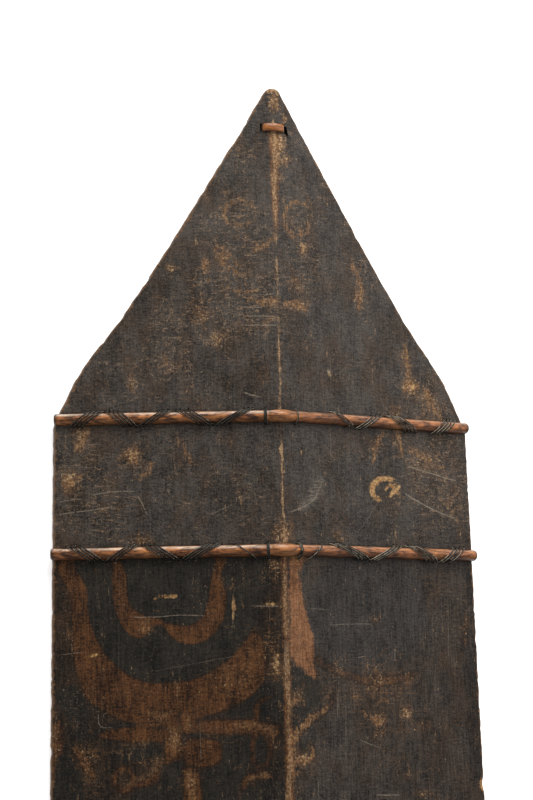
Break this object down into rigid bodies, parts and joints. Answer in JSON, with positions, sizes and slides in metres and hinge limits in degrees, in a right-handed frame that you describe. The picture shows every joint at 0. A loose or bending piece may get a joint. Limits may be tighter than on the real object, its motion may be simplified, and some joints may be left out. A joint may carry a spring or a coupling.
{
  "type": "wooden parrying shield",
  "caption": "Long six-sided wooden war shield with a ridged front, painted scrolls, lashed cane bands and a carved back grip, lying on its back.",
  "frame": {"origin": "middle of the shield, on the surface that its long edges lie on", "axes": "+X across the shield to the right of the painted front, +Y along it towards the upper tip, +Z out of the painted front"},
  "size_m": [0.403, 1.4, 0.0651],
  "materials": {
    "painted_wood": "worn black-brown paint on softwood, satin",
    "red_cane": "red-brown cane skin, semi-gloss",
    "black_strip": "blackened split cane strip, satin",
    "pale_cane": "orange-brown cane strip, semi-gloss"
  },
  "bodies": {
    "root": {"board": "painted_wood", "cane_upper_outer": "red_cane", "cane_upper_inner": "red_cane", "cane_lower_inner": "red_cane", "cane_lower_outer": "red_cane", "lashing_upper_outer_left": "black_strip", "lashing_upper_outer_right": "black_strip", "lashing_upper_inner_left": "black_strip", "lashing_upper_inner_right": "black_strip", "lashing_lower_inner_left": "black_strip", "lashing_lower_inner_right": "black_strip", "lashing_lower_outer_left": "black_strip", "lashing_lower_outer_right": "black_strip", "tip_loop": "pale_cane"}
  },
  "joints": []
}
